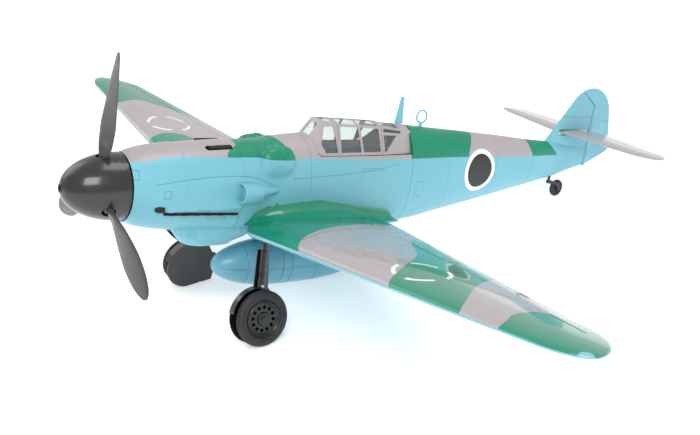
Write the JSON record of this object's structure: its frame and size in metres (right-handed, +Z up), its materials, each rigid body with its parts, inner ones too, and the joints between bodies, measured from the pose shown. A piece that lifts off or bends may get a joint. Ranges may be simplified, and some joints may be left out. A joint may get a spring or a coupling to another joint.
{
  "type": "radio-controlled model aircraft",
  "caption": "Radio-controlled single-engine low-wing fighter model with hinged control surfaces, opening canopy, drop tank and retracting main wheels.",
  "frame": {"origin": "On the ground, under the middle of the aircraft's box, which stands on its two main wheels and tail wheel.", "axes": "+X to the aircraft's port (left) wing tip, -Y towards the nose, +Z up."},
  "size_m": [1.19, 0.9851, 0.3934],
  "materials": {
    "sky_paint": "satin painted moulding",
    "camouflage_paint": "satin two-tone painted moulding",
    "grey_paint": "satin painted moulding",
    "clear_canopy": "clear moulded plastic",
    "black_paint": "semi-gloss black",
    "gear_metal": "satin black",
    "tyre_rubber": "matt rubber",
    "tank_paint": "satin painted moulding",
    "cockpit_plastic": "matt dark grey",
    "plywood": "bare plywood",
    "aluminium": "machined",
    "motor_black": "anodised black",
    "steel": "plain",
    "carbon_tube": "woven carbon tube",
    "servo_plastic": "moulded",
    "battery_wrap": "shrink wrap"
  },
  "bodies": {
    "airframe": {"front_fuselage": "sky_paint", "rear_fuselage": "sky_paint", "joint_former": "plywood", "firewall": "plywood", "motor_mount": "aluminium", "motor_stator": "aluminium", "speed_controller": "servo_plastic", "battery": "battery_wrap", "battery_tray": "plywood", "receiver": "servo_plastic", "tail_servos": "servo_plastic", "cockpit_tub": "cockpit_plastic", "pilot_seat": "cockpit_plastic", "windscreen_frame": "grey_paint", "windscreen_glass": "clear_canopy", "rear_canopy_frame": "grey_paint", "rear_canopy_glass": "clear_canopy", "gun_barrels": "black_paint", "exhaust_stacks": "black_paint", "supercharger_scoop": "sky_paint", "antenna_mast": "sky_paint", "direction_loop": "sky_paint", "drop_tank": "tank_paint", "tank_rack": "black_paint", "wing_left": "camouflage_paint", "wing_right": "camouflage_paint", "wing_tube": "carbon_tube", "wing_servos": "servo_plastic", "fin": "sky_paint", "tailplane": "grey_paint", "screws": "steel"},
    "propeller_group": {"motor_bell": "motor_black", "motor_shaft": "steel", "spinner_backplate": "black_paint", "propeller": "black_paint", "prop_nut": "steel", "spinner_cone": "black_paint"},
    "hood": {"hood_frame": "grey_paint", "hood_glass": "clear_canopy"},
    "flap_left": {"flap_left": "camouflage_paint"},
    "flap_right": {"flap_right": "camouflage_paint"},
    "aileron_left": {"aileron_left": "camouflage_paint"},
    "aileron_right": {"aileron_right": "camouflage_paint"},
    "aileron_arm_left": {"aileron_arm_left": "servo_plastic"},
    "aileron_arm_right": {"aileron_arm_right": "servo_plastic"},
    "aileron_rod_left": {"aileron_rod_left": "steel"},
    "aileron_rod_right": {"aileron_rod_right": "steel"},
    "rudder": {"rudder": "sky_paint"},
    "elevator": {"elevator": "grey_paint"},
    "gear_left": {"gear_leg_left": "gear_metal", "gear_door_left": "black_paint"},
    "gear_right": {"gear_leg_right": "gear_metal", "gear_door_right": "black_paint"},
    "wheel_left": {"wheel_left": "gear_metal", "tyre_left": "tyre_rubber"},
    "wheel_right": {"wheel_right": "gear_metal", "tyre_right": "tyre_rubber"},
    "tail_fork": {"tail_fork": "gear_metal"},
    "tail_wheel": {"tail_wheel": "tyre_rubber"}
  },
  "joints": [
    {"name": "prop_spin", "type": "hinge", "parent": "airframe", "child": "propeller_group", "pos_m": [0, -0.44293, 0.22882], "axis": [0, -0.9767, 0.2146], "continuous": true},
    {"name": "hood_hinge", "type": "hinge", "parent": "airframe", "child": "hood", "pos_m": [-0.0375, -0.07233, 0.1914], "axis": [0, -0.9767, 0.2146], "range_deg": [0, 80]},
    {"name": "flap_left_hinge", "type": "hinge", "parent": "airframe", "child": "flap_left", "pos_m": [0.06, -0.09179, 0.10022], "axis": [-0.9763, 0.1528, -0.1531], "range_deg": [0, 40]},
    {"name": "flap_right_hinge", "type": "hinge", "parent": "airframe", "child": "flap_right", "pos_m": [-0.06, -0.09179, 0.10022], "axis": [-0.9763, -0.1528, 0.1531], "range_deg": [0, 40]},
    {"name": "aileron_left_hinge", "type": "hinge", "parent": "airframe", "child": "aileron_left", "pos_m": [0.291, -0.12449, 0.13555], "axis": [-0.9726, 0.171, -0.1575], "range_deg": [-20, 20]},
    {"name": "aileron_right_hinge", "type": "hinge", "parent": "airframe", "child": "aileron_right", "pos_m": [-0.291, -0.12449, 0.13555], "axis": [-0.9726, -0.171, 0.1575], "range_deg": [-20, 20]},
    {"name": "aileron_arm_left_pivot", "type": "hinge", "parent": "airframe", "child": "aileron_arm_left", "pos_m": [0.39727, -0.18484, 0.16296], "axis": [-0.9726, 0.171, -0.1575], "range_deg": [-20, 20]},
    {"name": "aileron_arm_right_pivot", "type": "hinge", "parent": "airframe", "child": "aileron_arm_right", "pos_m": [-0.39727, -0.18484, 0.16296], "axis": [-0.9726, -0.171, 0.1575], "range_deg": [-20, 20]},
    {"name": "aileron_rod_left_pivot", "type": "hinge", "parent": "aileron_arm_left", "child": "aileron_rod_left", "pos_m": [0.40211, -0.18893, 0.14899], "axis": [-0.9726, 0.171, -0.1575], "range_deg": [-20, 20]},
    {"name": "aileron_rod_right_pivot", "type": "hinge", "parent": "aileron_arm_right", "child": "aileron_rod_right", "pos_m": [-0.40211, -0.18893, 0.14899], "axis": [-0.9726, -0.171, 0.1575], "range_deg": [-20, 20]},
    {"name": "rudder_hinge", "type": "hinge", "parent": "airframe", "child": "rudder", "pos_m": [0, 0.44018, 0.09618], "axis": [0, 0.2146, 0.9767], "range_deg": [-25, 25]},
    {"name": "elevator_hinge", "type": "hinge", "parent": "airframe", "child": "elevator", "pos_m": [0, 0.42856, 0.10386], "axis": [1, 0, 0], "range_deg": [-20, 20]},
    {"name": "gear_left_retract", "type": "hinge", "parent": "airframe", "child": "gear_left", "pos_m": [0.079, -0.25853, 0.13147], "axis": [0.2587, -0.7962, 0.5469], "range_deg": [0, 90.7]},
    {"name": "gear_right_retract", "type": "hinge", "parent": "airframe", "child": "gear_right", "pos_m": [-0.079, -0.25853, 0.13147], "axis": [0.2587, 0.7962, -0.5469], "range_deg": [0, 90.7]},
    {"name": "wheel_left_spin", "type": "hinge", "parent": "gear_left", "child": "wheel_left", "pos_m": [0.10954, -0.29017, 0.03766], "axis": [0.9816, 0.041, 0.1864], "continuous": true},
    {"name": "wheel_right_spin", "type": "hinge", "parent": "gear_right", "child": "wheel_right", "pos_m": [-0.10954, -0.29017, 0.03766], "axis": [0.9816, -0.041, -0.1864], "continuous": true},
    {"name": "tail_wheel_steer", "type": "hinge", "parent": "airframe", "child": "tail_fork", "pos_m": [0, 0.34995, 0.04434], "axis": [0, 0.2146, 0.9767], "range_deg": [-25, 25]},
    {"name": "tail_wheel_spin", "type": "hinge", "parent": "tail_fork", "child": "tail_wheel", "pos_m": [0, 0.36692, 0.0144], "axis": [1, 0, 0], "continuous": true}
  ],
  "couplings": [
    {"joint": "flap_right_hinge", "follows": "flap_left_hinge", "ratio": 1},
    {"joint": "aileron_right_hinge", "follows": "aileron_left_hinge", "ratio": -1},
    {"joint": "aileron_arm_left_pivot", "follows": "aileron_left_hinge", "ratio": 1},
    {"joint": "aileron_rod_left_pivot", "follows": "aileron_left_hinge", "ratio": -1},
    {"joint": "aileron_arm_right_pivot", "follows": "aileron_left_hinge", "ratio": -1},
    {"joint": "aileron_rod_right_pivot", "follows": "aileron_left_hinge", "ratio": 1},
    {"joint": "tail_wheel_steer", "follows": "rudder_hinge", "ratio": 1},
    {"joint": "gear_right_retract", "follows": "gear_left_retract", "ratio": 1}
  ]
}
